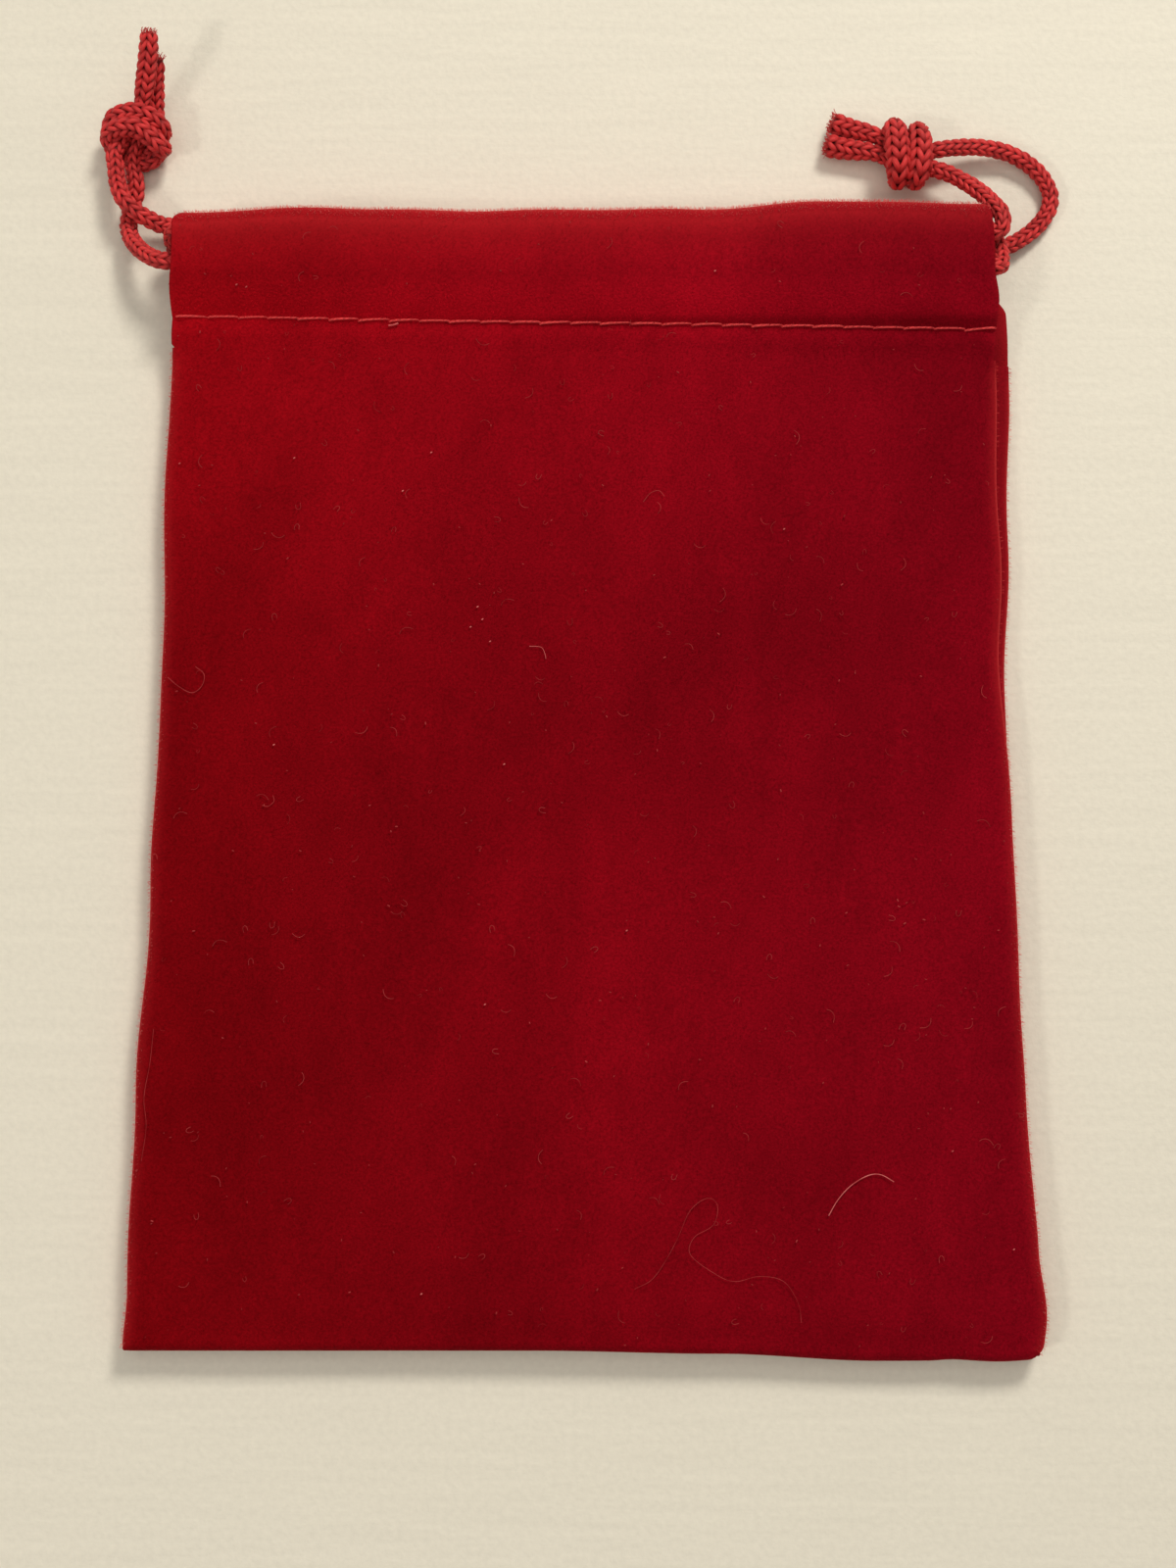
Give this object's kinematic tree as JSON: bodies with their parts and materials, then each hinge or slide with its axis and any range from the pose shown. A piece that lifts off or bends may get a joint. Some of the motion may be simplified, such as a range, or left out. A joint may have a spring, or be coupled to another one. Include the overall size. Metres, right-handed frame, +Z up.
{
  "type": "drawstring pouch",
  "caption": "Flat velvet drawstring gift pouch with a stitched top casing, knitted cords drawn from both sides and a knot in the ends of each cord.",
  "frame": {"origin": "under the middle of the two panels, on the surface the pouch lies on", "axes": "+Z up through the thickness of the flat pouch, +Y along its length towards the mouth, +X to the right seen from above"},
  "size_m": [0.1021, 0.136, 0.009],
  "materials": {
    "velvet": "short-pile velvet, deep red, brighter where the nap is brushed back and along the folds",
    "cord": "knitted tube cord, satin yarn, columns of V-shaped loops",
    "thread": "polyester sewing thread, slight sheen"
  },
  "bodies": {
    "root": {"front_panel": "velvet", "back_panel": "velvet", "front_hem_thread": "thread", "back_hem_thread": "thread", "seam_thread": "thread", "left_cord": "cord", "left_knot": "cord", "right_cord": "cord", "right_knot": "cord"}
  },
  "joints": []
}
